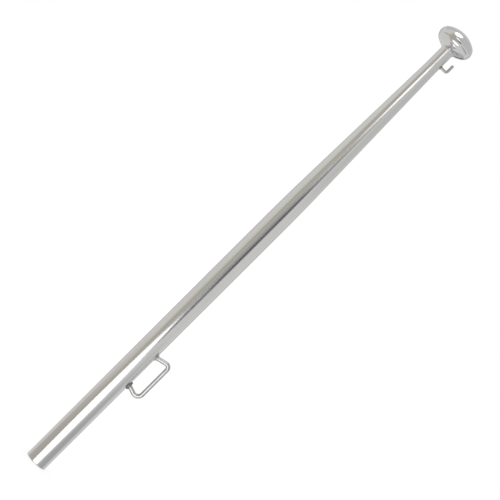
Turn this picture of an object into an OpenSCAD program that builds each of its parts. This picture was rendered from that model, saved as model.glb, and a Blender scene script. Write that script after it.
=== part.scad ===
// Deck flagstaff: a swaged stainless tube with a welded truck, flag hook and line loop.
// Frame: +Z runs up the staff, the origin is the centre of the tube's bottom face,
// and +X points from the staff to the loop and the hook. Everything is symmetric about y = 0.

/* [Staff] */
// Overall length, from the bottom face to the top of the truck
staff_len = 635; // [500:1:900]
// Outer diameter of the lower, straight part, which stands in the deck socket
tube_d = 25; // [20:0.5:32]
// Outer diameter of the upper, straight part under the truck
tip_d = 15; // [12:0.5:19]
// Wall thickness of the tube
tube_wall = 1.2; // [0.8:0.1:2]
// Length of the taper between the two straight parts
taper_len = 203; // [120:1:260]
// Length of the upper, straight part, from the taper to the truck
tip_len = 26.2; // [25.5:0.1:60]
// Half the length over which the lower end of the taper is blended
lower_blend = 26; // [5:1:40]
// Half the length over which the upper end of the taper is blended
upper_blend = 6; // [2:1:6]
// Deburred edge at the open bottom end
edge_break = 0.3; // [0.1:0.1:0.5]

/* [Truck] */
// Diameter of the truck at its rim
truck_d = 42.4; // [35:0.2:54]
// Height of the truck, from pole to pole
truck_h = 25.7; // [20:0.1:31]
// Radius of the rim's round
rim_r = 9.2; // [7:0.1:9.5]
// Wall thickness of the two pressed half shells
shell_wall = 1.2; // [0.8:0.1:2]
// How far the tube's end reaches into the truck
tube_entry = 3; // [2:0.5:6]
// Leg length of the weld bead between the tube and the truck
truck_weld_leg = 1.1; // [1:0.1:3]

/* [Flag hook] */
// Wire diameter of the hook
hook_wire = 3; // [2:0.1:4]
// Distance from the tube's surface to the prong's centre line
hook_reach = 7.9; // [6:0.1:12]
// Distance from the truck's seat down to the centre line of the hook's leg
hook_drop = 17.2; // [16.5:0.1:20]
// Height of the prong's tip above the centre line of the leg
hook_rise = 10.2; // [8:0.1:13]
// Radius of the bend, on the wire's centre line
hook_bend_r = 2.3; // [2:0.1:4]
// Edge break at the prong's tip
hook_tip_break = 0.4; // [0.1:0.1:0.8]
// Leg length of the hook's weld bead
hook_weld_leg = 0.8; // [0.5:0.1:1.2]

/* [Line loop] */
// Rod diameter of the loop
loop_rod = 5; // [4:0.1:7]
// Distance from the tube's surface to the centre line of the loop's bar
loop_reach = 16.9; // [14:0.1:25]
// Height of the middle of the loop's two roots above the bottom face
loop_height = 146.2; // [80:0.1:240]
// Distance between the two roots, along the tube
loop_span = 40.4; // [30:0.1:60]
// Upward slope of the upper leg, in degrees
upper_splay = 14; // [0:0.5:22]
// Downward slope of the lower leg, in degrees
lower_splay = 18.5; // [0:0.5:22]
// Radius of the upper bend, on the rod's centre line
upper_bend_r = 4.4; // [4:0.1:7]
// Radius of the lower bend, on the rod's centre line
lower_bend_r = 6; // [4:0.1:7]
// Leg length of the upper weld bead
upper_weld_leg = 1.2; // [0.5:0.1:2.5]
// Leg length of the lower weld bead
lower_weld_leg = 2.1; // [0.5:0.1:2.5]

/* [Hidden] */
$fn = 96;

// Welded pieces meet face to face, with no gap.
seat_gap = 0;
// A cutting solid reaches this far past the faces that it goes through.
cut_extra = 1;
// Facets along each blend of the tube's outline
blend_steps = 6;
// Share of a weld's leg length that is left as its blunt top edge
weld_lip = 0.3;
steel = [0.75, 0.75, 0.74];
weld_grey = [0.62, 0.61, 0.59];

tube_r = tube_d / 2;
tip_r = tip_d / 2;

// The truck's outline is an oval of four arcs: two rim arcs and two crown arcs, tangent to each other.
truck_r = truck_d / 2;
half_h = truck_h / 2;
rim_x = truck_r - rim_r;
crown_r = (rim_x * rim_x + half_h * half_h - rim_r * rim_r) / (2 * (half_h - rim_r));
crown_offset = crown_r - half_h;
rim_z = staff_len - half_h;
lower_crown_z = rim_z + crown_offset;

// Rounds to a micrometre, for places worked out by trigonometry at which several solids meet
function fine(v) = round(v * 1000) / 1000;

// How far the sine and cosine of angle a are from a unit vector when each has six decimals
function six(v) = round(v * 1e6) / 1e6;
function unit_error(a) = abs(six(sin(a)) ^ 2 + six(cos(a)) ^ 2 - 1);
// The angle nearest to a, by steps of step degrees, at which that error is nothing. A rod turned by
// it keeps its size to the last digit, so that its end meets the next rod's end exactly.
function exact_angle(a, step = 0.001, tries = 0) =
    let (up = a + tries * step, down = a - tries * step)
    unit_error(up) < 1e-8 ? up : unit_error(down) < 1e-8 ? down : exact_angle(a, step, tries + 1);

// The truck seats on the tube where the lower crown arc meets the tube's surface.
seat_z = fine(lower_crown_z - sqrt(crown_r * crown_r - tip_r * tip_r));
tube_top = seat_z + tube_entry;
taper_top = seat_z - tip_len;
taper_start = taper_top - taper_len;
taper_slope = (tube_r - tip_r) / taper_len;

hook_z = seat_z - hook_drop;
hook_x = tip_r + hook_reach;

upper_root_z = loop_height + loop_span / 2;
lower_root_z = loop_height - loop_span / 2;
loop_x = tube_r + loop_reach;
upper_slope = exact_angle(upper_splay);
lower_slope = exact_angle(lower_splay);

// Outer radius of the tube at height z. Each end of the taper is blended by a parabola.
function tube_radius(z) =
    let (rise = z - (taper_start - lower_blend), fall = taper_top + upper_blend - z)
    rise <= 0 ? tube_r :
    z <= taper_start + lower_blend ? tube_r - taper_slope * rise * rise / (4 * lower_blend) :
    z <= taper_top - upper_blend ? tube_r - taper_slope * (z - taper_start) :
    fall > 0 ? tip_r + taper_slope * fall * fall / (4 * upper_blend) :
    tip_r;

// Heights at which the outline turns, along the blend of half length b whose middle is at height z
function blend_heights(z, b) = [for (i = [0 : blend_steps]) z + b * (2 * i / blend_steps - 1)];
turns = concat(blend_heights(taper_start, lower_blend), blend_heights(taper_top, upper_blend));

// Open tube of constant wall: straight, taper, straight
module pole_tube() {
    bore_r = tube_r - tube_wall;
    outside = concat(
        [[tube_r - edge_break, 0], [tube_r, edge_break]],
        [for (z = turns) [tube_radius(z), z]],
        [[tip_r, tube_top]]);
    inside = concat(
        [[tip_r - tube_wall, tube_top]],
        [for (i = [len(turns) - 1 : -1 : 0]) [tube_radius(turns[i]) - tube_wall, turns[i]]],
        [[bore_r, edge_break], [bore_r + edge_break, 0]]);
    color(steel) rotate_extrude() polygon(concat(outside, inside));
}

// Right half of the truck's outline, moved in by inset: the rim's circle, and the lens between the
// two crown arcs as far out as they touch it
module oval_2d(inset) {
    tangent_x = rim_x * (crown_r - inset) / (crown_r - rim_r);
    translate([rim_x, 0]) circle(r = rim_r - inset);
    intersection() {
        translate([0, -crown_offset]) circle(r = crown_r - inset);
        translate([0, crown_offset]) circle(r = crown_r - inset);
        translate([0, -half_h - cut_extra]) square([tangent_x, truck_h + 2 * cut_extra]);
    }
}

// Section of one half shell: the part of the wall that lies above the height low
module shell_2d(low) {
    difference() {
        intersection() {
            oval_2d(0);
            translate([0, low]) square([truck_r + cut_extra, half_h + cut_extra]);
        }
        oval_2d(shell_wall);
    }
}

// Upper half of the truck, a closed dome
module truck_upper_shell() {
    color(steel) translate([0, 0, rim_z]) rotate_extrude() shell_2d(0);
}

// Lower half of the truck, with the hole that the tube's end stands in
module truck_lower_shell() {
    color(steel) translate([0, 0, rim_z]) rotate_extrude() difference() {
        shell_2d(-half_h - cut_extra);
        translate([-cut_extra, -half_h - cut_extra])
            square([tip_r + seat_gap + cut_extra, half_h + cut_extra]);
    }
}

// Round bead that fills the corner between the tube and the lower half shell
module truck_weld() {
    box = 2 * truck_weld_leg;
    color(weld_grey) rotate_extrude() difference() {
        translate([tip_r, seat_z]) circle(r = truck_weld_leg);
        translate([tip_r + seat_gap - box, seat_z - box]) square([box, 2 * box]);
        translate([0, lower_crown_z]) circle(r = crown_r + seat_gap);
    }
}

// Places a leg's own frame: its origin is on a tube of radius r at height z, and its +Z points
// along the leg, which slopes up by splay degrees.
module at_root(r, z, splay) {
    translate([r, 0, z]) rotate([0, 90 - splay, 0]) children();
}

// The tube as a plain rod of radius r from height low to height high, to cut what seats on it
module tube_rod(r, low, high) {
    translate([0, 0, low]) cylinder(r = r + seat_gap, h = high - low);
}

// Fillet weld round the root of a leg: a blunt 45 degree cone over a skirt that ends on the tube
module root_weld(r, z, splay, rod, leg) {
    rod_r = rod / 2;
    top = leg * (1 - weld_lip);
    reach = 2 * (rod + leg);
    color(weld_grey) difference() {
        at_root(r, z, splay) {
            cylinder(r1 = rod_r + leg, r2 = rod_r + leg * weld_lip, h = top);
            translate([0, 0, -rod]) cylinder(r = rod_r + leg, h = rod);
        }
        at_root(r, z, splay) translate([0, 0, -rod - cut_extra])
            cylinder(r = rod_r + seat_gap, h = rod + top + 2 * cut_extra);
        tube_rod(r, z - reach, z + reach);
    }
}

// Bend of a rod in the plane y = 0, centred at the origin. It starts at height 0 on the +X side and
// turns up and over until it meets the end of a leg that slopes up by splay degrees.
module bend(bend_r, rod_r, splay) {
    size = 2 * (bend_r + rod_r);
    intersection() {
        rotate([90, 0, 180]) rotate_extrude() translate([bend_r, 0]) circle(r = rod_r);
        translate([-size, -size, 0]) cube([2 * size, 2 * size, size]);
        rotate([0, 90 - splay, 0]) translate([-size, -size, 0]) cube([2 * size, 2 * size, size]);
    }
}

// Bent wire: out from the tube, then up to the open tip of its prong
module flag_hook() {
    wire_r = hook_wire / 2;
    bend_z = hook_z + hook_bend_r;
    break_z = hook_z + hook_rise - hook_tip_break;
    color(steel) difference() {
        union() {
            translate([0, 0, hook_z]) rotate([0, 90, 0]) cylinder(r = wire_r, h = hook_x - hook_bend_r);
            translate([hook_x - hook_bend_r, 0, bend_z]) rotate([180, 0, 0]) bend(hook_bend_r, wire_r, 0);
            translate([hook_x, 0, bend_z]) cylinder(r = wire_r, h = break_z - bend_z);
            translate([hook_x, 0, break_z])
                cylinder(r1 = wire_r, r2 = wire_r - hook_tip_break, h = hook_tip_break);
        }
        tube_rod(tip_r, hook_z - hook_wire, hook_z + hook_wire);
    }
}

module hook_weld() {
    root_weld(tip_r, hook_z, 0, hook_wire, hook_weld_leg);
}

// Height above its root at which a leg's bend meets the bar
function bar_end(splay, bend_r) = fine(loop_reach * tan(splay) - bend_r * tan((90 + splay) / 2));

// One leg of the loop from root_z, with the bend that turns it to run down along the bar
module loop_leg(root_z, splay, bend_r) {
    rod_r = loop_rod / 2;
    leg_len = loop_reach + tube_r;
    translate([loop_x - bend_r, 0, root_z + bar_end(splay, bend_r)]) {
        bend(bend_r, rod_r, splay);
        rotate([0, 90 - splay, 0]) translate([-bend_r, 0, -leg_len]) rotate([0, 0, 180])
            cylinder(r = rod_r, h = leg_len);
    }
}

// Bent rod: two splayed legs and the bar between them, which runs along the tube
module line_loop() {
    bar_top = upper_root_z + bar_end(upper_slope, upper_bend_r);
    bar_bottom = lower_root_z - bar_end(lower_slope, lower_bend_r);
    color(steel) difference() {
        union() {
            loop_leg(upper_root_z, upper_slope, upper_bend_r);
            rotate([180, 0, 0]) loop_leg(-lower_root_z, lower_slope, lower_bend_r);
            translate([loop_x, 0, bar_bottom]) cylinder(r = loop_rod / 2, h = bar_top - bar_bottom);
        }
        tube_rod(tube_r, lower_root_z - loop_span, upper_root_z + loop_span);
    }
}

module loop_upper_weld() {
    root_weld(tube_r, upper_root_z, upper_slope, loop_rod, upper_weld_leg);
}

module loop_lower_weld() {
    root_weld(tube_r, lower_root_z, -lower_slope, loop_rod, lower_weld_leg);
}

pole_tube();
truck_weld();
truck_lower_shell();
truck_upper_shell();
flag_hook();
hook_weld();
line_loop();
loop_upper_weld();
loop_lower_weld();
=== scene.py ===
"""Visual model of a polished stainless deck flagstaff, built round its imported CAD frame.

Every piece is in metres in the CAD frame: +Z runs up the staff, and +X points to the loop and the hook.
"""

import logging
import math
from dataclasses import dataclass, field
from enum import Enum
from typing import Any, Sequence

import bmesh
import bpy
from mathutils import Matrix, Vector


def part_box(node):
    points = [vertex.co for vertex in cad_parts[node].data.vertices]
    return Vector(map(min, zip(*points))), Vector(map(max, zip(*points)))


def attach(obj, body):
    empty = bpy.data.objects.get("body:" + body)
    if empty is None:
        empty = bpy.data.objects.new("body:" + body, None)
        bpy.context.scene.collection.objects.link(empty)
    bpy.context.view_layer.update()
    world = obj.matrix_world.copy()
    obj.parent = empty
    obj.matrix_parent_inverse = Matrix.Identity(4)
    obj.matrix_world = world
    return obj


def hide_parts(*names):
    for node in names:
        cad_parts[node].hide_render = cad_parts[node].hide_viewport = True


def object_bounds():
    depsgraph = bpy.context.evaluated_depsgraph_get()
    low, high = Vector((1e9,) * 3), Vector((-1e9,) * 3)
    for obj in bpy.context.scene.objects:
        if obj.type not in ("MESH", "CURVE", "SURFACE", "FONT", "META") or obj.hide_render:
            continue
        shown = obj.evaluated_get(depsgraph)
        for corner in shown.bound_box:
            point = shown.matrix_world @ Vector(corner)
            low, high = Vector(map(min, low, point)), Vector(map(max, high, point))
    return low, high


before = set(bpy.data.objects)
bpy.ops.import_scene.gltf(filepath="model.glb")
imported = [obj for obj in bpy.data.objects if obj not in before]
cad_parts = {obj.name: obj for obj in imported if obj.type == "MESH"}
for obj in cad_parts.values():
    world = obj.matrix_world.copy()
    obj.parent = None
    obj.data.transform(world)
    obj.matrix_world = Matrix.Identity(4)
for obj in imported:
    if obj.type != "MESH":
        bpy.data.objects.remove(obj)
cad_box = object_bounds()

MM = 0.001
ROUND_STEPS = 192
SHARP_ANGLE = math.radians(32)
ON_AXIS = 1e-7

log = logging.getLogger("flagstaff")

Point = tuple[float, float]
Colour = tuple[float, float, float, float]
HeatSpot = tuple[Vector, float]


def grey(value: float, warmth: float = 0.0) -> Colour:
    """Returns a grey of linear value, warmer (or cooler) by a share of it."""
    return (value * (1 + warmth), value, value * (1 - warmth), 1.0)


class Slot(Enum):
    """Names of material slots, passed to Workshop.fit, which does not read them."""

    TUBE = "polished_tube"
    TRUCK = "polished_truck"
    WIRE = "drawn_wire"
    ROD = "bent_rod"
    DRESSED_WELD = "dressed_weld"
    RAW_WELD = "raw_weld"


class Graph:
    """Adds, sets and wires the nodes of one node tree."""

    def __init__(self, tree: bpy.types.NodeTree) -> None:
        """Wraps a tree that already exists."""
        self.tree = tree

    def feed(self, socket: bpy.types.NodeSocket, value: Any) -> None:
        """Fills an input.

        Args:
            socket: The input.
            value: An output socket to wire to it, or a plain value to set on it.
        """
        if isinstance(value, bpy.types.NodeSocket):
            self.tree.links.new(value, socket)
        else:
            socket.default_value = value

    def node(self, kind: str, inputs: dict[Any, Any] | None = None, **settings: Any) -> bpy.types.Node:
        """Adds a node.

        Args:
            kind: Type name of the node.
            inputs: Values or output sockets, by the name or number of the input that takes each.
            settings: Properties of the node itself, such as its operation.

        Returns:
            The new node.
        """
        made = self.tree.nodes.new(kind)
        for key, value in settings.items():
            setattr(made, key, value)
        for key, value in (inputs or {}).items():
            self.feed(made.inputs[key], value)
        return made

    def calc(self, operation: str, *values: Any) -> bpy.types.NodeSocket:
        """Adds a Math node.

        Args:
            operation: Name of the operation.
            values: Numbers or output sockets, in the order of the inputs.

        Returns:
            Its output.
        """
        return self.node("ShaderNodeMath", dict(enumerate(values)), operation=operation).outputs[0]

    def spread(self, value: Any, low: Any, high: Any) -> bpy.types.NodeSocket:
        """Eases a value from one range to 0 to 1.

        Args:
            value: The value to map.
            low: Where 0 is reached.
            high: Where 1 is reached.

        Returns:
            The mapped value.
        """
        inputs = {0: value, 1: low, 2: high}
        return self.node("ShaderNodeMapRange", inputs, interpolation_type="SMOOTHSTEP").outputs[0]

    def mix(self, factor: Any, low: Any, high: Any) -> bpy.types.NodeSocket:
        """Mixes two colours.

        Args:
            factor: Share of the second colour.
            low: First colour.
            high: Second colour.

        Returns:
            The mixed colour.
        """
        return self.node("ShaderNodeMix", {0: factor, 6: low, 7: high}, data_type="RGBA").outputs[2]

    def noise(self, place: Any, scale: Any, detail: float, roughness: float = 0.5) -> bpy.types.NodeSocket:
        """Adds a noise pattern.

        Args:
            place: Coordinates.
            scale: Size factor of the pattern.
            detail: Number of finer layers.
            roughness: Strength of the finer layers.

        Returns:
            Its value from 0 to 1.
        """
        inputs = {"Vector": place, "Scale": scale, "Detail": detail, "Roughness": roughness}
        return self.node("ShaderNodeTexNoise", inputs).outputs[0]

    def effect(self, tree: bpy.types.NodeTree, inputs: dict[str, Any]) -> Any:
        """Places a shared node group and returns its outputs."""
        return self.node("ShaderNodeGroup", inputs, node_tree=tree).outputs


def new_group(
    kind: str, name: str, takes: dict[str, tuple[str, Any]], gives: dict[str, str]
) -> tuple[Graph, Any, Any]:
    """Makes a node group with named sockets.

    Args:
        kind: Type name of the tree.
        name: Name of the group.
        takes: Socket type and default value of each input, by name.
        gives: Socket type of each output, by name.

    Returns:
        Its graph, its Group Input outputs and its Group Output inputs.
    """
    tree = bpy.data.node_groups.new(name, kind)
    for label, (sort, value) in takes.items():
        socket = tree.interface.new_socket(name=label, in_out="INPUT", socket_type="NodeSocket" + sort)
        if value is not None:
            socket.default_value = value
    for label, sort in gives.items():
        tree.interface.new_socket(name=label, in_out="OUTPUT", socket_type="NodeSocket" + sort)
    graph = Graph(tree)
    return graph, graph.node("NodeGroupInput").outputs, graph.node("NodeGroupOutput").inputs


class SurfaceEffects:
    """Shader node groups that the steel finishes share."""

    LINE_MASK = (0.35, 0.7)
    HAZE_START = 0.85
    HAZE_EDGE = 0.35
    HEAT_NOISE = 420.0
    HEAT_WANDER = 0.35
    HEAT_FADE = (1.0, 0.7)
    HEAT_RINGS = (
        (0.0, (0.33, 0.325, 0.33, 1)),
        (0.45, (0.36, 0.37, 0.40, 1)),
        (0.62, (0.45, 0.43, 0.41, 1)),
        (0.80, (0.56, 0.545, 0.52, 1)),
        (1.0, (0.60, 0.595, 0.585, 1)),
    )

    def __init__(self) -> None:
        """Builds every group once."""
        self.turned_lines = self._turned_lines()
        self.haze = self._haze()
        self.heat_tint = self._heat_tint()

    def _turned_lines(self) -> bpy.types.NodeTree:
        """Builds the fine rings that a polishing wheel leaves round a turned piece.

        Returns:
            A group that gives a height and a mask, both from 0 to 1.
        """
        takes = {"Vector": ("Vector", None), "Lines per Metre": ("Float", 2500.0), "Drift": ("Float", 4.0)}
        gives = {"Height": "Float", "Mask": "Float"}
        graph, given, out = new_group("ShaderNodeTree", "turned_lines", takes, gives)
        split = graph.node("ShaderNodeSeparateXYZ", {0: given["Vector"]}).outputs
        squares = [graph.calc("MULTIPLY", split[axis], split[axis]) for axis in (0, 1)]
        radius = graph.calc("SQRT", graph.calc("ADD", *squares))
        along = graph.calc("MULTIPLY", split[2], given["Lines per Metre"])
        across = graph.calc("MULTIPLY", radius, given["Lines per Metre"])
        turn = graph.calc("MULTIPLY", graph.calc("ARCTAN2", split[1], split[0]), given["Drift"])
        place = graph.node("ShaderNodeCombineXYZ", {0: along, 1: across, 2: turn}).outputs[0]
        fine = graph.noise(place, scale=1.0, detail=3.0, roughness=0.6)
        graph.feed(out["Height"], fine)
        graph.feed(out["Mask"], graph.spread(fine, *self.LINE_MASK))
        return graph.tree

    def _haze(self) -> bpy.types.NodeTree:
        """Builds soft patches of polishing haze and handling film.

        Returns:
            A group that gives a mask from 0 to 1.
        """
        takes = {"Vector": ("Vector", None), "Scale": ("Float", 30.0), "Coverage": ("Float", 0.5)}
        graph, given, out = new_group("ShaderNodeTree", "polish_haze", takes, {"Mask": "Float"})
        broad = graph.noise(given["Vector"], given["Scale"], detail=4.0)
        low = graph.calc("SUBTRACT", self.HAZE_START, given["Coverage"])
        graph.feed(out["Mask"], graph.spread(broad, low, graph.calc("ADD", low, self.HAZE_EDGE)))
        return graph.tree

    def _heat_tint(self) -> bpy.types.NodeTree:
        """Builds the faint grey and straw rings that welding heat leaves round a cleaned root.

        Returns:
            A group that gives a tint and its mask.
        """
        takes = {"Vector": ("Vector", None), "Centre": ("Vector", None), "Reach": ("Float", 0.005)}
        gives = {"Tint": "Color", "Mask": "Float"}
        graph, given, out = new_group("ShaderNodeTree", "heat_tint", takes, gives)
        ends = {0: given["Vector"], 1: given["Centre"]}
        away = graph.node("ShaderNodeVectorMath", ends, operation="DISTANCE").outputs["Value"]
        noise = graph.noise(given["Vector"], self.HEAT_NOISE, detail=2.0)
        wander = graph.calc("MULTIPLY", graph.calc("SUBTRACT", noise, 0.5), self.HEAT_WANDER)
        share = graph.calc("ADD", graph.calc("DIVIDE", away, given["Reach"]), wander)
        ramp = graph.node("ShaderNodeValToRGB", {0: share})
        rings = ramp.color_ramp.elements
        rings[0].position, rings[0].color = self.HEAT_RINGS[0]
        rings[1].position, rings[1].color = self.HEAT_RINGS[-1]
        for place, tint in self.HEAT_RINGS[1:-1]:
            rings.new(place).color = tint
        graph.feed(out["Tint"], ramp.outputs[0])
        graph.feed(out["Mask"], graph.spread(share, *self.HEAT_FADE))
        return graph.tree


@dataclass(frozen=True, kw_only=True)
class Finish:
    """Values and steps that every steel finish shares: by a wear mask it goes from smooth to dull."""

    name: str
    tint: Colour
    smooth: float
    dull: float
    relief: float
    relief_depth: float
    heat_spots: tuple[HeatSpot, ...] = ()
    heat_share: float = 0.65
    heat_dulling: float = 0.18

    def surface(self, graph: Graph, effects: SurfaceEffects, place: Any) -> tuple[Any, Colour, Any]:
        """Adds what is special to a finish; each finish has its own."""
        raise NotImplementedError

    def material(self, effects: SurfaceEffects) -> bpy.types.Material:
        """Builds the material.

        Args:
            effects: The shared node groups.

        Returns:
            The material.
        """
        made = bpy.data.materials.new(self.name)
        made.use_nodes = True
        made.node_tree.nodes.clear()
        made.diffuse_color = self.tint
        graph = Graph(made.node_tree)
        place = graph.node("ShaderNodeTexCoord").outputs["Object"]
        worn, worn_tint, height = self.surface(graph, effects, place)
        colour = graph.mix(worn, self.tint, worn_tint)
        rough = graph.calc("ADD", self.smooth, graph.calc("MULTIPLY", worn, self.dull - self.smooth))
        for centre, reach in self.heat_spots:
            heat = graph.effect(effects.heat_tint, {"Vector": place, "Centre": centre, "Reach": reach})
            colour = graph.mix(graph.calc("MULTIPLY", heat["Mask"], self.heat_share), colour, heat["Tint"])
            rough = graph.calc("ADD", rough, graph.calc("MULTIPLY", heat["Mask"], self.heat_dulling))
        bump = {"Strength": self.relief, "Distance": self.relief_depth, "Height": height}
        shader = graph.node("ShaderNodeBsdfPrincipled", {
            "Metallic": 1.0,
            "Specular IOR Level": 0.5,
            "Base Color": colour,
            "Roughness": rough,
            "Normal": graph.node("ShaderNodeBump", bump).outputs[0],
        })
        graph.node("ShaderNodeOutputMaterial", {"Surface": shader.outputs[0]})
        return made


@dataclass(frozen=True, kw_only=True)
class MirrorSteel(Finish):
    """Mirror-polished stainless with the wheel's fine rings and a little haze."""

    lines_per_m: float
    haze_scale: float
    haze_share: float = 0.7
    fade: float = 0.965
    relief: float = 0.35
    relief_depth: float = 0.002 * MM

    def surface(self, graph: Graph, effects: SurfaceEffects, place: Any) -> tuple[Any, Colour, Any]:
        """Adds the rings and the haze.

        Args:
            graph: Graph of the material.
            effects: The shared node groups.
            place: Object coordinates.

        Returns:
            The wear mask, the worn colour and the height of the relief.
        """
        lines = graph.effect(effects.turned_lines, {"Vector": place, "Lines per Metre": self.lines_per_m})
        haze = graph.effect(effects.haze, {"Vector": place, "Scale": self.haze_scale})["Mask"]
        film = graph.calc("MULTIPLY", haze, self.haze_share)
        worn = graph.calc("ADD", film, graph.calc("MULTIPLY", lines["Mask"], 1 - self.haze_share))
        return worn, tuple(self.fade * c for c in self.tint[:3]) + (1.0,), lines["Height"]


@dataclass(frozen=True, kw_only=True)
class DrawnSteel(Finish):
    """Bright drawn bar, with die lines that run along it and light scuffs."""

    lanes: float = 14.0
    waves_per_m: float = 60.0
    haze_scale: float = 120.0
    haze_cover: float = 0.55
    haze_share: float = 0.5
    fade: float = 0.92
    relief: float = 0.4
    relief_depth: float = 0.004 * MM
    heat_dulling: float = 0.15

    def surface(self, graph: Graph, effects: SurfaceEffects, place: Any) -> tuple[Any, Colour, Any]:
        """Adds the die lines and the scuffs.

        Args:
            graph: Graph of the material.
            effects: The shared node groups.
            place: Object coordinates.

        Returns:
            The wear mask, the worn colour and the height of the relief.
        """
        along = graph.node("ShaderNodeAttribute", attribute_name="along").outputs["Fac"]
        around = graph.node("ShaderNodeAttribute", attribute_name="around").outputs["Vector"]
        turn = graph.node("ShaderNodeVectorMath", {0: around, 3: self.lanes}, operation="SCALE").outputs[0]
        split = graph.node("ShaderNodeSeparateXYZ", {0: turn}).outputs
        drift = graph.calc("MULTIPLY", along, self.waves_per_m)
        lane = graph.node("ShaderNodeCombineXYZ", {0: split[0], 1: split[1], 2: drift}).outputs[0]
        lines = graph.noise(lane, scale=1.0, detail=3.0)
        inputs = {"Vector": place, "Scale": self.haze_scale, "Coverage": self.haze_cover}
        film = graph.calc("MULTIPLY", graph.effect(effects.haze, inputs)["Mask"], self.haze_share)
        worn = graph.calc("ADD", film, graph.calc("MULTIPLY", lines, 1 - self.haze_share))
        return worn, tuple(self.fade * c for c in self.tint[:3]) + (1.0,), lines


@dataclass(frozen=True, kw_only=True)
class WeldSteel(Finish):
    """Weld metal: darker in the valleys between its ripples, with a grain and patches of oxide."""

    oxide: Colour
    oxide_share: float
    valley: Point = (0.75, 0.15)
    patch_scale: float = 900.0
    grain_scale: float = 2600.0
    relief: float = 0.5
    relief_depth: float = 0.04 * MM

    def surface(self, graph: Graph, effects: SurfaceEffects, place: Any) -> tuple[Any, Colour, Any]:
        """Adds the oxide and the grain.

        Args:
            graph: Graph of the material.
            effects: The shared node groups.
            place: Object coordinates.

        Returns:
            The wear mask, the worn colour and the height of the relief.
        """
        crest = graph.node("ShaderNodeAttribute", attribute_name="crest").outputs["Fac"]
        inputs = {"Vector": place, "Scale": self.patch_scale, "Coverage": self.oxide_share}
        patches = graph.effect(effects.haze, inputs)["Mask"]
        stained = graph.calc("MAXIMUM", graph.spread(crest, *self.valley), patches)
        stain = graph.calc("MULTIPLY", stained, self.oxide_share)
        return stain, self.oxide, graph.noise(place, self.grain_scale, detail=4.0)


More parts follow.
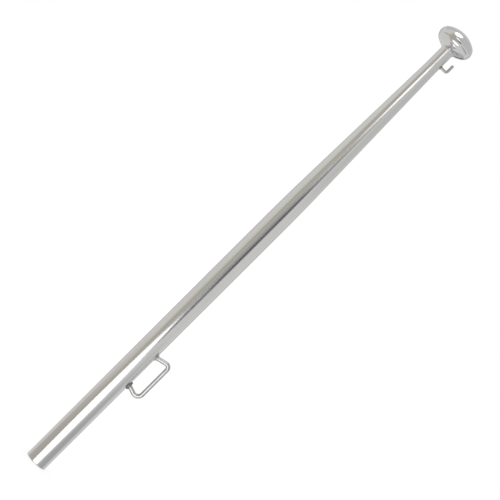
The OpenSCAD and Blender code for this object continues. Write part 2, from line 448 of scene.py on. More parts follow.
class GrowthTrees:
    """Geometry Nodes trees for the pieces that follow a path."""

    POINTS_PER_RIPPLE = 10.0
    BEAD_SIDES = 28
    RIPPLE_RANGE = (0.65, 1.25)
    CREST_FULLNESS = 0.6

    def __init__(self) -> None:
        """Builds both trees once."""
        self.swept_bar = self._swept_bar()
        self.weld_bead = self._weld_bead()

    @staticmethod
    def _finish_up(graph: Graph, mesh: Any, finish: Any, out: Any) -> None:
        """Ends a tree: smooth, realized, dressed.

        Args:
            graph: Graph of the tree.
            mesh: Output socket of the mesh.
            finish: Output socket of the material.
            out: Inputs of the Group Output.
        """
        smooth = graph.node("GeometryNodeSetShadeSmooth", {"Geometry": mesh}).outputs[0]
        real = graph.node("GeometryNodeRealizeInstances", {"Geometry": smooth}).outputs[0]
        dressed = graph.node("GeometryNodeSetMaterial", {"Geometry": real, "Material": finish}).outputs[0]
        graph.feed(out["Geometry"], dressed)

    @staticmethod
    def _named(graph: Graph, geometry: Any, name: str, value: Any, kind: str = "FLOAT") -> Any:
        """Stores a named attribute on points.

        Args:
            graph: Graph of the tree.
            geometry: Output socket of the geometry.
            name: Name of the attribute.
            value: Output socket of its value.
            kind: Its data type.

        Returns:
            Output socket of the geometry that carries it.
        """
        inputs = {"Geometry": geometry, "Name": name, "Value": value}
        settings = {"data_type": kind, "domain": "POINT"}
        return graph.node("GeometryNodeStoreNamedAttribute", inputs, **settings).outputs[0]

    @staticmethod
    def _stored(graph: Graph, name: str) -> Any:
        """Returns the value of a named attribute."""
        return graph.node("GeometryNodeInputNamedAttribute", {"Name": name}, data_type="FLOAT").outputs[0]

    @staticmethod
    def _ring(graph: Graph, sides: Any, radius: Any) -> Any:
        """Returns a circle for a sweep."""
        inputs = {"Resolution": sides, "Radius": radius}
        return graph.node("GeometryNodeCurvePrimitiveCircle", inputs, mode="RADIUS").outputs[0]

    def _swept_bar(self) -> bpy.types.NodeTree:
        """Builds the tree that sweeps a round bar along a path.

        Returns:
            The tree.
        """
        takes = {
            "Geometry": ("Geometry", None),
            "Bar Radius": ("Float", 0.002),
            "Round Steps": ("Int", 48),
            "Finish": ("Material", None),
        }
        graph, given, out = new_group("GeometryNodeTree", "swept_bar", takes, {"Geometry": "Geometry"})
        path = graph.node("GeometryNodeMeshToCurve", {"Mesh": given["Geometry"]}).outputs[0]
        thickness = {"Curve": path, "Radius": self._stored(graph, "swell")}
        path = graph.node("GeometryNodeSetCurveRadius", thickness).outputs[0]
        spot = graph.node("GeometryNodeSplineParameter").outputs
        path = self._named(graph, path, "along", spot["Length"])
        ring = self._ring(graph, given["Round Steps"], given["Bar Radius"])
        place = graph.node("GeometryNodeInputPosition").outputs[0]
        unit = graph.node("ShaderNodeVectorMath", {0: place}, operation="NORMALIZE").outputs[0]
        ring = self._named(graph, ring, "around", unit, "FLOAT_VECTOR")
        sweep = {"Curve": path, "Profile Curve": ring, "Fill Caps": True}
        bar = graph.node("GeometryNodeCurveToMesh", sweep).outputs[0]
        self._finish_up(graph, bar, given["Finish"], out)
        return graph.tree

    def _weld_bead(self) -> bpy.types.NodeTree:
        """Builds the tree that lays a rippled weld bead along a closed path.

        Returns:
            The tree.
        """
        takes = {
            "Geometry": ("Geometry", None),
            "Bead Radius": ("Float", 0.001),
            "Ripples": ("Int", 20),
            "Ripple Height": ("Float", 0.0001),
            "Lean": ("Float", 0.5),
            "Seed": ("Int", 1),
            "Finish": ("Material", None),
        }
        graph, given, out = new_group("GeometryNodeTree", "weld_bead", takes, {"Geometry": "Geometry"})
        path = graph.node("GeometryNodeMeshToCurve", {"Mesh": given["Geometry"]}).outputs[0]
        count = graph.calc("MULTIPLY", given["Ripples"], self.POINTS_PER_RIPPLE)
        path = graph.node("GeometryNodeResampleCurve", {"Curve": path, "Count": count}).outputs[0]
        spot = graph.node("GeometryNodeSplineParameter").outputs
        path = self._named(graph, path, "along", spot["Factor"])
        ring = self._ring(graph, self.BEAD_SIDES, given["Bead Radius"])
        ring_spot = graph.node("GeometryNodeSplineParameter").outputs["Factor"]
        lap = graph.calc("COSINE", graph.calc("MULTIPLY", ring_spot, math.tau))
        ring = self._named(graph, ring, "lap", lap)
        bead = graph.node("GeometryNodeCurveToMesh", {"Curve": path, "Profile Curve": ring}).outputs[0]
        laid = graph.calc("MULTIPLY", self._stored(graph, "along"), given["Ripples"])
        step = graph.calc("ADD", laid, graph.calc("MULTIPLY", self._stored(graph, "lap"), given["Lean"]))
        turn = graph.calc("WRAP", graph.calc("FLOOR", step), given["Ripples"], 0.0)
        inputs = {2: self.RIPPLE_RANGE[0], 3: self.RIPPLE_RANGE[1], "ID": turn, "Seed": given["Seed"]}
        vary = graph.node("FunctionNodeRandomValue", inputs, data_type="FLOAT").outputs[1]
        wave = graph.calc("SINE", graph.calc("MULTIPLY", graph.calc("FRACT", step), math.pi))
        crest = graph.calc("POWER", wave, self.CREST_FULLNESS)
        rise = graph.calc("MULTIPLY", graph.calc("MULTIPLY", crest, vary), given["Ripple Height"])
        normal = graph.node("GeometryNodeInputNormal").outputs[0]
        offset = graph.node("ShaderNodeVectorMath", {0: normal, 3: rise}, operation="SCALE").outputs[0]
        bead = self._named(graph, bead, "crest", crest)
        bead = graph.node("GeometryNodeSetPosition", {"Geometry": bead, "Offset": offset}).outputs[0]
        self._finish_up(graph, bead, given["Finish"], out)
        return graph.tree


class Workshop:
    """Makes finished pieces, and fixes each one to the frame."""

    def __init__(self) -> None:
        """Builds the shared node groups."""
        self.effects = SurfaceEffects()
        self.trees = GrowthTrees()

    def fit(self, piece: bpy.types.Object, slot: Slot, *nodes: str) -> bpy.types.Object:
        """Rides a finished piece on the body in place of its CAD nodes.

        Args:
            piece: The piece, with its place in its mesh.
            slot: Not used.
            nodes: CAD nodes that it stands for.

        Returns:
            The same piece.
        """
        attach(piece, "root")
        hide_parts(*nodes)
        log.info("%s: %d faces, stands for %s", piece.name, len(piece.data.polygons), ", ".join(nodes))
        return piece

    @staticmethod
    def turned(name: str, outline: Sequence[Point], material: bpy.types.Material) -> bpy.types.Object:
        """Turns a closed outline round the Z axis.

        Args:
            name: Name of the piece.
            outline: Radius and height of each corner, in order round the section.
            material: Finish of the piece.

        Returns:
            A closed smooth object, sharp only at true edges.
        """
        made = bmesh.new()
        rings: list[list[bmesh.types.BMVert]] = []
        for radius, height in outline:
            if radius < ON_AXIS:
                rings.append([made.verts.new((0.0, 0.0, height))])
                continue
            rings.append([
                made.verts.new((radius * math.cos(turn), radius * math.sin(turn), height))
                for turn in (2 * math.pi * i / ROUND_STEPS for i in range(ROUND_STEPS))
            ])
        for low, high in zip(rings, rings[1:] + rings[:1]):
            for i in range(ROUND_STEPS):
                j = (i + 1) % ROUND_STEPS
                if len(low) == 1 and len(high) == 1:
                    break
                if len(low) == 1:
                    made.faces.new((low[0], high[j], high[i]))
                elif len(high) == 1:
                    made.faces.new((low[i], low[j], high[0]))
                else:
                    made.faces.new((low[i], low[j], high[j], high[i]))
        bmesh.ops.recalc_face_normals(made, faces=made.faces)
        mesh = bpy.data.meshes.new(name)
        made.to_mesh(mesh)
        made.free()
        mesh.shade_smooth()
        mesh.set_sharp_from_angle(angle=SHARP_ANGLE)
        mesh.materials.append(material)
        piece = bpy.data.objects.new(name, mesh)
        bpy.context.scene.collection.objects.link(piece)
        return piece

    @staticmethod
    def grown(
        name: str,
        path: Sequence[Vector],
        closed: bool,
        tree: bpy.types.NodeTree,
        values: dict[str, Any],
        swell: Sequence[float] | None = None,
    ) -> bpy.types.Object:
        """Runs a Geometry Nodes tree on a path and keeps the result as a plain mesh.

        Args:
            name: Name of the piece.
            path: Points of the path.
            closed: Whether its end joins its start.
            tree: The tree to run.
            values: Values of the tree's inputs, by name.
            swell: Thickness factor at each point.

        Returns:
            The finished object.
        """
        count = len(path)
        edges = [(i, i + 1) for i in range(count - 1)] + ([(count - 1, 0)] if closed else [])
        line = bpy.data.meshes.new(name + "_path")
        line.from_pydata(path, edges, [])
        thickness = line.attributes.new("swell", "FLOAT", "POINT").data
        thickness.foreach_set("value", list(swell or [1.0] * count))
        piece = bpy.data.objects.new(name, line)
        bpy.context.scene.collection.objects.link(piece)
        growth = piece.modifiers.new("growth", "NODES")
        growth.node_group = tree
        for item in tree.interface.items_tree:
            if item.in_out == "INPUT" and item.name in values:
                growth[item.identifier] = values[item.name]
        depsgraph = bpy.context.evaluated_depsgraph_get()
        mesh = bpy.data.meshes.new_from_object(piece.evaluated_get(depsgraph), depsgraph=depsgraph)
        piece.modifiers.remove(growth)
        piece.data = mesh
        mesh.name = name
        bpy.data.meshes.remove(line)
        made = bmesh.new()
        made.from_mesh(mesh)
        bmesh.ops.recalc_face_normals(made, faces=made.faces)
        made.to_mesh(mesh)
        made.free()
        mesh.set_sharp_from_angle(angle=SHARP_ANGLE)
        return piece


def arc(centre: Point, radius: float, start: float, end: float, steps: int) -> list[Point]:
    """Points along an arc in the (radius, height) plane.

    Args:
        centre: Centre of the arc.
        radius: Radius of the arc.
        start: First angle in degrees, from the outward direction towards +Z.
        end: Last angle in degrees.
        steps: Number of chords.

    Returns:
        The points, both ends included.
    """
    angles = (math.radians(start + (end - start) * i / steps) for i in range(steps + 1))
    return [(centre[0] + radius * math.cos(a), centre[1] + radius * math.sin(a)) for a in angles]


def rounded_path(corners: Sequence[Vector], radii: Sequence[float], steps: int) -> list[Vector]:
    """A path through corners, each rounded by a circular bend.

    Args:
        corners: Ends and corners of the path.
        radii: Bend radius at each inner corner.
        steps: Chords in each bend.

    Returns:
        Points of the path.
    """
    path = [corners[0]]
    for before, corner, after, radius in zip(corners, corners[1:], corners[2:], radii):
        back, ahead = (before - corner).normalized(), (after - corner).normalized()
        half = back.angle(ahead) / 2
        centre = corner + (back + ahead).normalized() * (radius / math.sin(half))
        first = corner + back * (radius / math.tan(half)) - centre
        last = corner + ahead * (radius / math.tan(half)) - centre
        turn = first.angle(last)
        axis = first.cross(last).normalized()
        path += [centre + Matrix.Rotation(turn * i / steps, 3, axis) @ first for i in range(steps + 1)]
    path.append(corners[-1])
    return path


@dataclass(frozen=True, kw_only=True)
class Bead:
    """A weld bead: how thick it is, how far its middle stands off, its ripples and its metal."""

    radius: float
    away: float = 0.0
    ripples: int
    ripple_height: float
    lean: float = 0.55
    seed: int
    metal: WeldSteel
    path_steps: int = 96

    def lay(self, shop: Workshop, name: str, path: Sequence[Vector]) -> bpy.types.Object:
        """Lays the bead along a closed path.

        Args:
            shop: The workshop.
            name: Name of the piece.
            path: Centre line of the bead.

        Returns:
            The finished object.
        """
        values = {
            "Bead Radius": self.radius,
            "Ripples": self.ripples,
            "Ripple Height": self.ripple_height,
            "Lean": self.lean,
            "Seed": self.seed,
            "Finish": self.metal.material(shop.effects),
        }
        return shop.grown(name, path, True, shop.trees.weld_bead, values)

    def root_path(self, tube_r: float, height: float, slope: float, bar_r: float) -> list[Vector]:
        """Finds the bead's centre line round the root of a bar on the side of the tube.

        Args:
            tube_r: Radius of the tube.
            height: Height of the root.
            slope: Upward slope of the bar, as an angle.
            bar_r: Radius of the bar.

        Returns:
            Points of a closed path.
        """
        rise, run = math.sin(slope), math.cos(slope)
        reach = bar_r + self.away
        points = []
        for i in range(self.path_steps):
            turn = math.tau * i / self.path_steps
            up, side = reach * math.cos(turn), reach * math.sin(turn)
            out = (math.sqrt((tube_r + self.away) ** 2 - side * side) - tube_r + up * rise) / run
            points.append(Vector((tube_r - up * rise + out * run, side, height + up * run + out * rise)))
        return points


@dataclass(frozen=True)
class StaffTube:
    """Swaged tube: straight foot, long taper, straight tip, one wall all the way."""

    foot_r: float = 12.5 * MM
    tip_r: float = 7.5 * MM
    wall: float = 1.2 * MM
    taper_len: float = 203 * MM
    tip_len: float = 26.2 * MM
    entry: float = 3 * MM
    lower_blend: float = 26 * MM
    upper_blend: float = 6 * MM
    edge_r: float = 0.95 * MM
    edge_steps: int = 6
    edge_clear: float = 1.6
    bore_edge_r: float = 0.2 * MM
    bore_edge_steps: int = 4
    lip: float = 0.2 * MM
    ring_gap: float = 9 * MM
    blend_steps: int = 12
    top: float = field(init=False)

    def __post_init__(self) -> None:
        """Reads the tube's top from the CAD frame."""
        object.__setattr__(self, "top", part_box("pole_tube")[1].z)

    @property
    def seat(self) -> float:
        """Height at which the truck sits on the tube."""
        return self.top - self.entry

    def radius(self, height: float) -> float:
        """Finds the outer radius of the tube.

        Args:
            height: Height above the foot.

        Returns:
            The radius there.
        """
        upper = self.seat - self.tip_len
        lower = upper - self.taper_len
        slope = (self.foot_r - self.tip_r) / self.taper_len
        rise, fall = height - (lower - self.lower_blend), upper + self.upper_blend - height
        if rise <= 0:
            return self.foot_r
        if height <= lower + self.lower_blend:
            return self.foot_r - slope * rise * rise / (4 * self.lower_blend)
        if height <= upper - self.upper_blend:
            return self.foot_r - slope * (height - lower)
        return self.tip_r + slope * fall * fall / (4 * self.upper_blend) if fall > 0 else self.tip_r

    def heights(self) -> list[float]:
        """Spaces the rings along the wall, closer together in the blends.

        Returns:
            The height of each ring, from the foot up.
        """
        first, last = self.edge_r * self.edge_clear, self.top - self.lip
        places = {first, last}
        count = round((last - first) / self.ring_gap)
        places.update(first + (last - first) * i / count for i in range(count + 1))
        upper = self.seat - self.tip_len
        for middle, half in ((upper - self.taper_len, self.lower_blend), (upper, self.upper_blend)):
            shares = (i / self.blend_steps - 1 for i in range(2 * self.blend_steps + 1))
            places.update(middle + half * share for share in shares)
        return sorted(places)

    def outline(self) -> list[Point]:
        """Draws the section of the wall.

        Returns:
            Its corners, from the foot's outer edge up the outside and down the bore.
        """
        outer = [(self.radius(z), z) for z in self.heights()]
        edge, bore_edge = self.edge_r, self.bore_edge_r
        foot_out = arc((self.foot_r - edge, edge), edge, -90, 0, self.edge_steps)
        bore_x = self.foot_r - self.wall + bore_edge
        foot_in = arc((bore_x, bore_edge), bore_edge, 180, 270, self.bore_edge_steps)
        rim = [(self.tip_r, self.top), (self.tip_r - self.wall, self.top)]
        inner = [(radius - self.wall, z) for radius, z in reversed(outer)]
        return foot_out + outer + rim + inner + foot_in

    def build(self, shop: Workshop, heat_spots: tuple[HeatSpot, ...]) -> bpy.types.Object:
        """Makes and dresses the tube.

        Args:
            shop: The workshop.
            heat_spots: Centre and reach of each patch of heat tint.

        Returns:
            The finished object.
        """
        finish = MirrorSteel(
            name="mirror_tube", tint=grey(0.63, 0.006), smooth=0.09, dull=0.20,
            lines_per_m=2600.0, haze_scale=14.0, heat_spots=heat_spots,
        )
        piece = shop.turned("staff_tube", self.outline(), finish.material(shop.effects))
        return shop.fit(piece, Slot.TUBE, "pole_tube")


@dataclass(frozen=True)
class Truck:
    """Flattened hollow ball on the tube's top: two pressed half shells and the bead under them."""

    wall: float = 1.2 * MM
    rim_r: float = 9.2 * MM
    arc_steps: int = 28
    seam_turn: float = 0.4
    bead: Bead = Bead(
        path_steps=180, radius=1.04 * MM, ripples=44, ripple_height=0.06 * MM, lean=0.4, seed=5,
        metal=WeldSteel(
            name="dressed_bead", tint=grey(0.70, 0.01), smooth=0.16, dull=0.34,
            oxide=grey(0.45, 0.03), oxide_share=0.35,
        ),
    )
    radius: float = field(init=False)
    rim_z: float = field(init=False)
    half_h: float = field(init=False)

    def __post_init__(self) -> None:
        """Reads the truck's size from the CAD frame."""
        low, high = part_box("truck_upper_shell")
        object.__setattr__(self, "radius", high.x)
        object.__setattr__(self, "rim_z", low.z)
        object.__setattr__(self, "half_h", high.z - low.z)

    def half(self, inset: float) -> list[Point]:
        """Draws the upper quarter of the truck's outline, moved in by inset.

        Args:
            inset: How far inside the outer surface.

        Returns:
            Radius and height above the rim, from the rim to the pole.
        """
        rim_x = self.radius - self.rim_r
        crown = (rim_x ** 2 + self.half_h ** 2 - self.rim_r ** 2) / (2 * (self.half_h - self.rim_r))
        meet = math.degrees(math.atan2(crown - self.half_h, rim_x))
        rim = arc((rim_x, 0.0), self.rim_r - inset, 0.0, meet, self.arc_steps)
        top = arc((0.0, self.half_h - crown), crown - inset, meet, 90.0, self.arc_steps)
        rim.insert(1, arc((rim_x, 0.0), self.rim_r - inset, 0.0, self.seam_turn, 1)[1])
        top[-1] = (0.0, top[-1][1])
        return rim + top[1:]

    def shell(self, side: int, hole_r: float) -> list[Point]:
        """Draws the section of one half shell's wall.

        Args:
            side: 1 for the upper shell, -1 for the lower one.
            hole_r: Radius of the hole round the axis, or 0 for a closed shell.

        Returns:
            Its corners.
        """
        walls = []
        for inset in (0.0, self.wall):
            points = self.half(inset)
            kept = [p for p in points if p[0] > hole_r]
            last, inside = kept[-1], points[len(kept)]
            share = (last[0] - hole_r) / (last[0] - inside[0])
            kept.append((hole_r, last[1] + share * (inside[1] - last[1])))
            walls.append([(r, self.rim_z + side * z) for r, z in kept])
        return walls[0] + walls[1][::-1]

    def build(self, shop: Workshop, tube: StaffTube) -> None:
        """Makes and dresses the shells and the bead.

        Args:
            shop: The workshop.
            tube: The tube that the truck sits on.
        """
        steel = MirrorSteel(
            name="mirror_truck", tint=grey(0.63, 0.004), smooth=0.07, dull=0.17,
            lines_per_m=3200.0, haze_scale=55.0,
        ).material(shop.effects)
        lower = shop.turned("truck_lower", self.shell(-1, tube.tip_r), steel)
        shop.fit(lower, Slot.TRUCK, "truck_lower_shell")
        upper = shop.turned("truck_upper", self.shell(1, 0.0), steel)
        shop.fit(upper, Slot.TRUCK, "truck_upper_shell")
        seat = Vector((0.0, 0.0, tube.seat))
        steps = self.bead.path_steps
        turns = (math.tau * i / steps for i in range(steps))
        ring = [seat + tube.tip_r * Vector((math.cos(a), math.sin(a), 0)) for a in turns]
        shop.fit(self.bead.lay(shop, "truck_bead", ring), Slot.DRESSED_WELD, "truck_weld")


@dataclass(frozen=True)
class FlagHook:
    """Small open hook of bent wire under the truck, and its weld."""

    bend_r: float = 2.3 * MM
    bend_steps: int = 18
    round_steps: int = 40
    tip_break: float = 0.4 * MM
    tip_fullness: float = 0.9
    bury: float = 0.9 * MM
    heat_reach: float = 3.2 * MM
    bead: Bead = Bead(
        radius=0.51 * MM, away=0.24 * MM, ripples=13, ripple_height=0.05 * MM, seed=11,
        metal=WeldSteel(
            name="hook_bead_metal", tint=grey(0.48, 0.006), smooth=0.28, dull=0.5,
            oxide=grey(0.20, 0.02), oxide_share=0.6,
        ),
    )
    wire_r: float = field(init=False)
    leg_z: float = field(init=False)
    prong_x: float = field(init=False)
    tip_z: float = field(init=False)

    def __post_init__(self) -> None:
        """Reads the wire and its heights from the CAD frame."""
        low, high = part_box("flag_hook")
        wire_r = (high.y - low.y) / 2
        object.__setattr__(self, "wire_r", wire_r)
        object.__setattr__(self, "leg_z", low.z + wire_r)
        object.__setattr__(self, "prong_x", high.x - wire_r)
        object.__setattr__(self, "tip_z", high.z)

    def build(self, shop: Workshop, tube: StaffTube) -> None:
        """Makes and dresses the wire and its weld.

        Args:
            shop: The workshop.
            tube: The tube that carries the hook.
        """
        corners = [
            Vector((tube.tip_r - self.bury, 0, self.leg_z)),
            Vector((self.prong_x, 0, self.leg_z)),
            Vector((self.prong_x, 0, self.tip_z - self.tip_break)),
        ]
        path = rounded_path(corners, [self.bend_r], self.bend_steps)
        swell = [1.0] * len(path)
        for share in (0.35, 0.7, 1.0):
            path.append(Vector((self.prong_x, 0, self.tip_z - self.tip_break * (1 - share))))
            narrowing = 1 - math.sqrt(1 - (share * self.tip_fullness) ** 2)
            swell.append(1 - narrowing * self.tip_break / self.wire_r)
        root = Vector((tube.tip_r, 0, self.leg_z))
        bright = DrawnSteel(
            name="drawn_wire", tint=grey(0.46, 0.004), smooth=0.18, dull=0.30,
            heat_spots=((root, self.heat_reach),),
        )
        values = {
            "Bar Radius": self.wire_r,
            "Round Steps": self.round_steps,
            "Finish": bright.material(shop.effects),
        }
        wire = shop.grown("hook_wire", path, False, shop.trees.swept_bar, values, swell)
        shop.fit(wire, Slot.WIRE, "flag_hook")
        path = self.bead.root_path(tube.tip_r, self.leg_z, 0.0, self.wire_r)
        shop.fit(self.bead.lay(shop, "hook_bead", path), Slot.RAW_WELD, "hook_weld")


@dataclass(frozen=True, kw_only=True)
class LoopLeg:
    """One leg of the line loop: its root, its bend at the bar and its weld."""

    root: float
    slope: float
    bend_r: float
    heat_reach: float
    bead: Bead

    def at(self, x: float, tube_r: float) -> Vector:
        """The point of the leg's centre line at distance x from the axis."""
        return Vector((x, 0, self.root + (x - tube_r) * math.tan(self.slope)))


@dataclass(frozen=True)
class LineLoop:
    """Loop of bent rod low on the tube, for the flag's lower line, and its two welds."""

    upper: LoopLeg = LoopLeg(
        root=166.4 * MM, slope=math.radians(14), bend_r=4.4 * MM, heat_reach=5.2 * MM,
        bead=Bead(
            radius=0.76 * MM, away=0.36 * MM, ripples=19, ripple_height=0.08 * MM, seed=21,
            metal=WeldSteel(
                name="upper_bead_metal", tint=grey(0.54, 0.006), smooth=0.24, dull=0.45,
                oxide=grey(0.30, 0.02), oxide_share=0.45,
            ),
        ),
    )
    lower: LoopLeg = LoopLeg(
        root=126 * MM, slope=math.radians(-18.5), bend_r=6 * MM, heat_reach=6.6 * MM,
        bead=Bead(
            radius=1.33 * MM, away=0.63 * MM, ripples=17, ripple_height=0.14 * MM, seed=22,
            metal=WeldSteel(
                name="lower_bead_metal", tint=grey(0.40, 0.006), smooth=0.34, dull=0.6,
                oxide=grey(0.13, 0.02), oxide_share=0.65,
            ),
        ),
    )
    bend_steps: int = 24
    round_steps: int = 56
    bury: float = 0.9 * MM
    rod_r: float = field(init=False)
    bar_x: float = field(init=False)

    def __post_init__(self) -> None:
        """Reads the rod and the bar's place from the CAD frame."""
        low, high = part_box("line_loop")
        rod_r = (high.y - low.y) / 2
        object.__setattr__(self, "rod_r", rod_r)
        object.__setattr__(self, "bar_x", high.x - rod_r)

    def build(self, shop: Workshop, tube: StaffTube) -> None:
        """Makes and dresses the rod and its welds.

        Args:
            shop: The workshop.
            tube: The tube that carries the loop.
        """
        upper, lower, wall = self.upper, self.lower, tube.foot_r
        start = wall - self.bury
        corners = [upper.at(start, wall), upper.at(self.bar_x, wall)]
        corners += [lower.at(self.bar_x, wall), lower.at(start, wall)]
        path = rounded_path(corners, [upper.bend_r, lower.bend_r], self.bend_steps)
        bright = DrawnSteel(
            name="polished_rod", tint=grey(0.52, 0.004), smooth=0.09, dull=0.20,
            heat_spots=tuple((Vector((wall, 0, leg.root)), leg.heat_reach) for leg in (upper, lower)),
        )
        values = {
            "Bar Radius": self.rod_r,
            "Round Steps": self.round_steps,
            "Finish": bright.material(shop.effects),
        }
        shop.fit(shop.grown("loop_rod", path, False, shop.trees.swept_bar, values), Slot.ROD, "line_loop")
        path = upper.bead.root_path(wall, upper.root, upper.slope, self.rod_r)
        shop.fit(upper.bead.lay(shop, "loop_upper_bead", path), Slot.RAW_WELD, "loop_upper_weld")
        path = lower.bead.root_path(wall, lower.root, lower.slope, self.rod_r)
        shop.fit(lower.bead.lay(shop, "loop_lower_bead", path), Slot.RAW_WELD, "loop_lower_weld")


@dataclass(frozen=True)
class SurroundZone:
    """One soft-edged panel of the studio: a rounded patch of directions from the staff, in degrees."""

    name: str
    azimuth: float
    elevation: float
    half_width: float
    half_height: float
    colour: Colour
    soft: float = 0.25
    squareness: float = 4.0

    def lay(self, graph: Graph, azimuth: Any, elevation: Any, below: Any) -> bpy.types.NodeSocket:
        """Paints the panel over what lies below it.

        Args:
            graph: Graph of the world.
            azimuth: Direction round the staff, from the camera's side towards the loop.
            elevation: Direction above the horizon.
            below: Colour so far.

        Returns:
            The colour with the panel on it.
        """
        turn = graph.calc("WRAP", graph.calc("SUBTRACT", azimuth, self.azimuth), 180.0, -180.0)
        across = graph.calc("DIVIDE", graph.calc("ABSOLUTE", turn), self.half_width)
        rise = graph.calc("ABSOLUTE", graph.calc("SUBTRACT", elevation, self.elevation))
        along = graph.calc("DIVIDE", rise, self.half_height)
        powers = [graph.calc("POWER", share, self.squareness) for share in (across, along)]
        reach = graph.calc("POWER", graph.calc("ADD", *powers), 1.0 / self.squareness)
        painted = graph.mix(graph.spread(reach, 1 + self.soft / 2, 1 - self.soft / 2), below, self.colour)
        painted.node.label = self.name
        return painted


@dataclass(frozen=True)
class Studio:
    """Pale floor, even light, the panels and cards that the polished steel reflects, and the camera."""

    floor_r: float = 6.0
    floor_steps: int = 96
    floor_tint: Colour = grey(0.30)
    floor_glow: float = 0.72
    camera_distance: float = 1.45
    frame_width: float = 0.525
    aim_x: float = 1.6 * MM
    drop: float = 1.55 * MM
    roll: float = math.radians(44.9)
    sensor: float = 36.0
    surround: Colour = grey(0.88)
    zones: tuple[SurroundZone, ...] = (
        SurroundZone("ceiling", 0, 60, 400, 38, grey(0.72), 0.2),
        SurroundZone("loop_side_wall", 85, 28, 55, 23, grey(0.73), 0.3),
        SurroundZone("back_wall", 180, 4, 42, 16, grey(0.60), 0.7),
        SurroundZone("plain_side_wall", -62, 0, 36, 60, (0.89, 0.88, 0.82, 1), 0.7, 3),
        SurroundZone("plain_side_bench", -62, -13.5, 37, 6, (0.585, 0.57, 0.52, 1), 0.9),
        SurroundZone("loop_side_bench", 73, -14.8, 36, 7.8, (0.54, 0.53, 0.55, 1), 0.8, 2),
        SurroundZone("back_ground", 155, -40, 32, 16, (0.62, 0.61, 0.63, 1), 0.5),
        SurroundZone("front_curtain", -27, -8, 29, 58, (0.577, 0.56, 0.495, 1), 1.0, 3),
        SurroundZone("front_bench", -5, 3, 32, 9, (0.615, 0.60, 0.54, 1), 0.6),
        SurroundZone("camera_shade", -1, 0.7, 13, 6, grey(0.43), 0.9, 2),
        SurroundZone("camera_body", 15.5, 0.8, 11.5, 6.8, (0.138, 0.14, 0.146, 1), 0.7, 2.5),
        SurroundZone("front_lamp", -3.5, 15.3, 13, 4.7, grey(2.1), 0.3),
        SurroundZone("ground_light", 40, -84, 60, 5, grey(2.0), 0.4),
        SurroundZone("ground_shade", -100, -82, 45, 6, grey(0.3), 0.4),
        SurroundZone("ground_spot", 140, -77, 18, 5, grey(0.4), 0.5),
        SurroundZone("back_spot", 162, -18, 12, 5, grey(0.1), 0.5),
    )
    card_glow: float = 2.1
    card_steps: int = 48
    low_card_distance: float = 0.8
    low_card_half_width: float = 0.465
    low_card_shoulder: float = -0.08
    low_card_rise: float = 0.232
    low_card_rise_power: float = 1.33
    low_card_fall: float = 0.60
    low_card_fall_power: float = 1.8
    high_card_centre: tuple[float, float, float] = (-0.15, -0.25, 1.0)
    high_card_azimuth: float = -28.0
    high_card_half_length: float = 0.30
    high_card_half_width: float = 0.145

    def low_card(self) -> list[Vector]:
        """Draws the low card in front of the staff, pointed at the top and tapering below its shoulder.

        Returns:
            Its corners in order.
        """
        points = []
        for step in range(self.card_steps):
            turn = math.tau * step / self.card_steps
            over, up = math.cos(turn), math.sin(turn)
            power, reach = self.low_card_fall_power, self.low_card_fall
            if up > 0:
                power, reach = self.low_card_rise_power, self.low_card_rise
            x = math.copysign(abs(over) ** power, over) * self.low_card_half_width
            z = math.copysign(abs(up) ** power, up) * reach
            points.append(Vector((x, -self.low_card_distance, self.low_card_shoulder + z)))
        return points

    def high_card(self) -> list[Vector]:
        """Draws the level card over the staff, an ellipse that points away from it.

        Returns:
            Its corners in order.
        """
        away = math.radians(self.high_card_azimuth)
        along = Vector((math.sin(away), -math.cos(away), 0)) * self.high_card_half_length
        across = Vector((math.cos(away), math.sin(away), 0)) * self.high_card_half_width
        centre = Vector(self.high_card_centre)
        turns = (math.tau * step / self.card_steps for step in range(self.card_steps))
        return [centre + along * math.cos(turn) + across * math.sin(turn) for turn in turns]

    @staticmethod
    def glowing_sheet(
        name: str, outline: Sequence[Vector], tint: Colour, strength: float
    ) -> tuple[bpy.types.Object, Any]:
        """Makes a flat sheet that gives off an even white light.

        Args:
            name: Name of the sheet.
            outline: Its corners in order.
            tint: Its colour under other light.
            strength: How bright it glows.

        Returns:
            The sheet and the inputs of its shader.
        """
        mesh = bpy.data.meshes.new(name)
        mesh.from_pydata([tuple(corner) for corner in outline], [], [tuple(range(len(outline)))])
        sheet = bpy.data.objects.new(name, mesh)
        bpy.context.scene.collection.objects.link(sheet)
        glow = bpy.data.materials.new(name + "_glow")
        glow.use_nodes = True
        inputs = glow.node_tree.nodes["Principled BSDF"].inputs
        inputs["Base Color"].default_value = tint
        inputs["Emission Color"].default_value = grey(1.0)
        inputs["Emission Strength"].default_value = strength
        mesh.materials.append(glow)
        return sheet, inputs

    def build_card(self, name: str, outline: list[Vector]) -> None:
        """Sets up a white card that only the steel's reflections show.

        Args:
            name: Name of the card.
            outline: Its corners in order.
        """
        card, _ = self.glowing_sheet(name, outline, grey(0.0), self.card_glow)
        card.visible_camera = card.visible_diffuse = card.visible_shadow = card.visible_transmission = False

    def build_floor(self) -> None:
        """Lays the floor under the staff's foot."""
        turns = (math.tau * i / self.floor_steps for i in range(self.floor_steps))
        level = cad_box[0].z
        outline = [Vector((self.floor_r * math.cos(a), self.floor_r * math.sin(a), level)) for a in turns]
        floor, inputs = self.glowing_sheet("studio_floor", outline, self.floor_tint, self.floor_glow)
        inputs["Roughness"].default_value = 0.9
        inputs["Specular IOR Level"].default_value = 0.1
        floor.visible_glossy = False

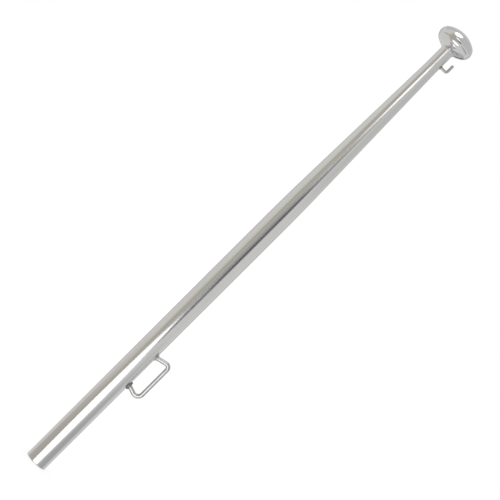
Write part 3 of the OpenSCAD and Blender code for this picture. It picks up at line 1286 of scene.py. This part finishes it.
    def build_surround(self) -> None:
        """Builds the light that reaches the floor evenly and shows as soft panels in the steel."""
        world = bpy.data.worlds.new("studio")
        bpy.context.scene.world = world
        world.use_nodes = True
        world.node_tree.nodes.clear()
        graph = Graph(world.node_tree)
        direction = graph.node("ShaderNodeTexCoord").outputs["Generated"]
        split = graph.node("ShaderNodeSeparateXYZ", {0: direction}).outputs
        towards_camera = graph.calc("MULTIPLY", split[1], -1.0)
        azimuth = graph.calc("DEGREES", graph.calc("ARCTAN2", split[0], towards_camera))
        elevation = graph.calc("DEGREES", graph.calc("ARCSINE", split[2]))
        colour: Any = self.surround
        for zone in self.zones:
            colour = zone.lay(graph, azimuth, elevation, colour)
        mirrored = graph.node("ShaderNodeBackground", {"Color": colour})
        even = graph.node("ShaderNodeBackground", {"Color": grey(1.0), "Strength": 1.0})
        glossy = graph.node("ShaderNodeLightPath").outputs["Is Glossy Ray"]
        either = graph.node("ShaderNodeMixShader", {0: glossy, 1: even.outputs[0], 2: mirrored.outputs[0]})
        graph.node("ShaderNodeOutputWorld", {"Surface": either.outputs[0]})

    def build_camera(self) -> None:
        """Sets up a level camera, square to the staff and rolled so that the staff lies aslant."""
        lens = bpy.data.cameras.new("studio_camera")
        lens.sensor_width = self.sensor
        lens.lens = self.sensor * self.camera_distance / self.frame_width
        lens.clip_start = 0.01
        lens.clip_end = 50
        camera = bpy.data.objects.new("studio_camera", lens)
        bpy.context.scene.collection.objects.link(camera)
        middle = (cad_box[0].z + cad_box[1].z) / 2 - self.drop
        right = Vector((math.sin(self.roll), 0, math.cos(self.roll)))
        up = Vector((-math.cos(self.roll), 0, math.sin(self.roll)))
        turned = Matrix((right, up, right.cross(up))).transposed().to_4x4()
        camera.matrix_world = Matrix.Translation((self.aim_x, -self.camera_distance, middle)) @ turned
        bpy.context.scene.camera = camera

    def build(self) -> None:
        """Builds the whole studio."""
        self.build_floor()
        self.build_card("low_card", self.low_card())
        self.build_card("high_card", self.high_card())
        self.build_surround()
        self.build_camera()
        bpy.context.scene.view_settings.view_transform = "Standard"
        bpy.context.scene.view_settings.look = "None"


def main() -> None:
    """Builds the staff, its fittings and the studio."""
    logging.basicConfig(level=logging.INFO, format="%(name)s %(message)s")
    shop = Workshop()
    tube, truck, hook, loop = StaffTube(), Truck(), FlagHook(), LineLoop()
    heat_spots = (
        (Vector((tube.foot_r, 0, loop.upper.root)), 5.6 * MM),
        (Vector((tube.foot_r, 0, loop.lower.root)), 7.4 * MM),
        (Vector((tube.tip_r, 0, hook.leg_z)), 3.6 * MM),
    )
    tube.build(shop, heat_spots)
    truck.build(shop, tube)
    hook.build(shop, tube)
    loop.build(shop, tube)
    Studio().build()


if __name__ == "__main__":
    main()
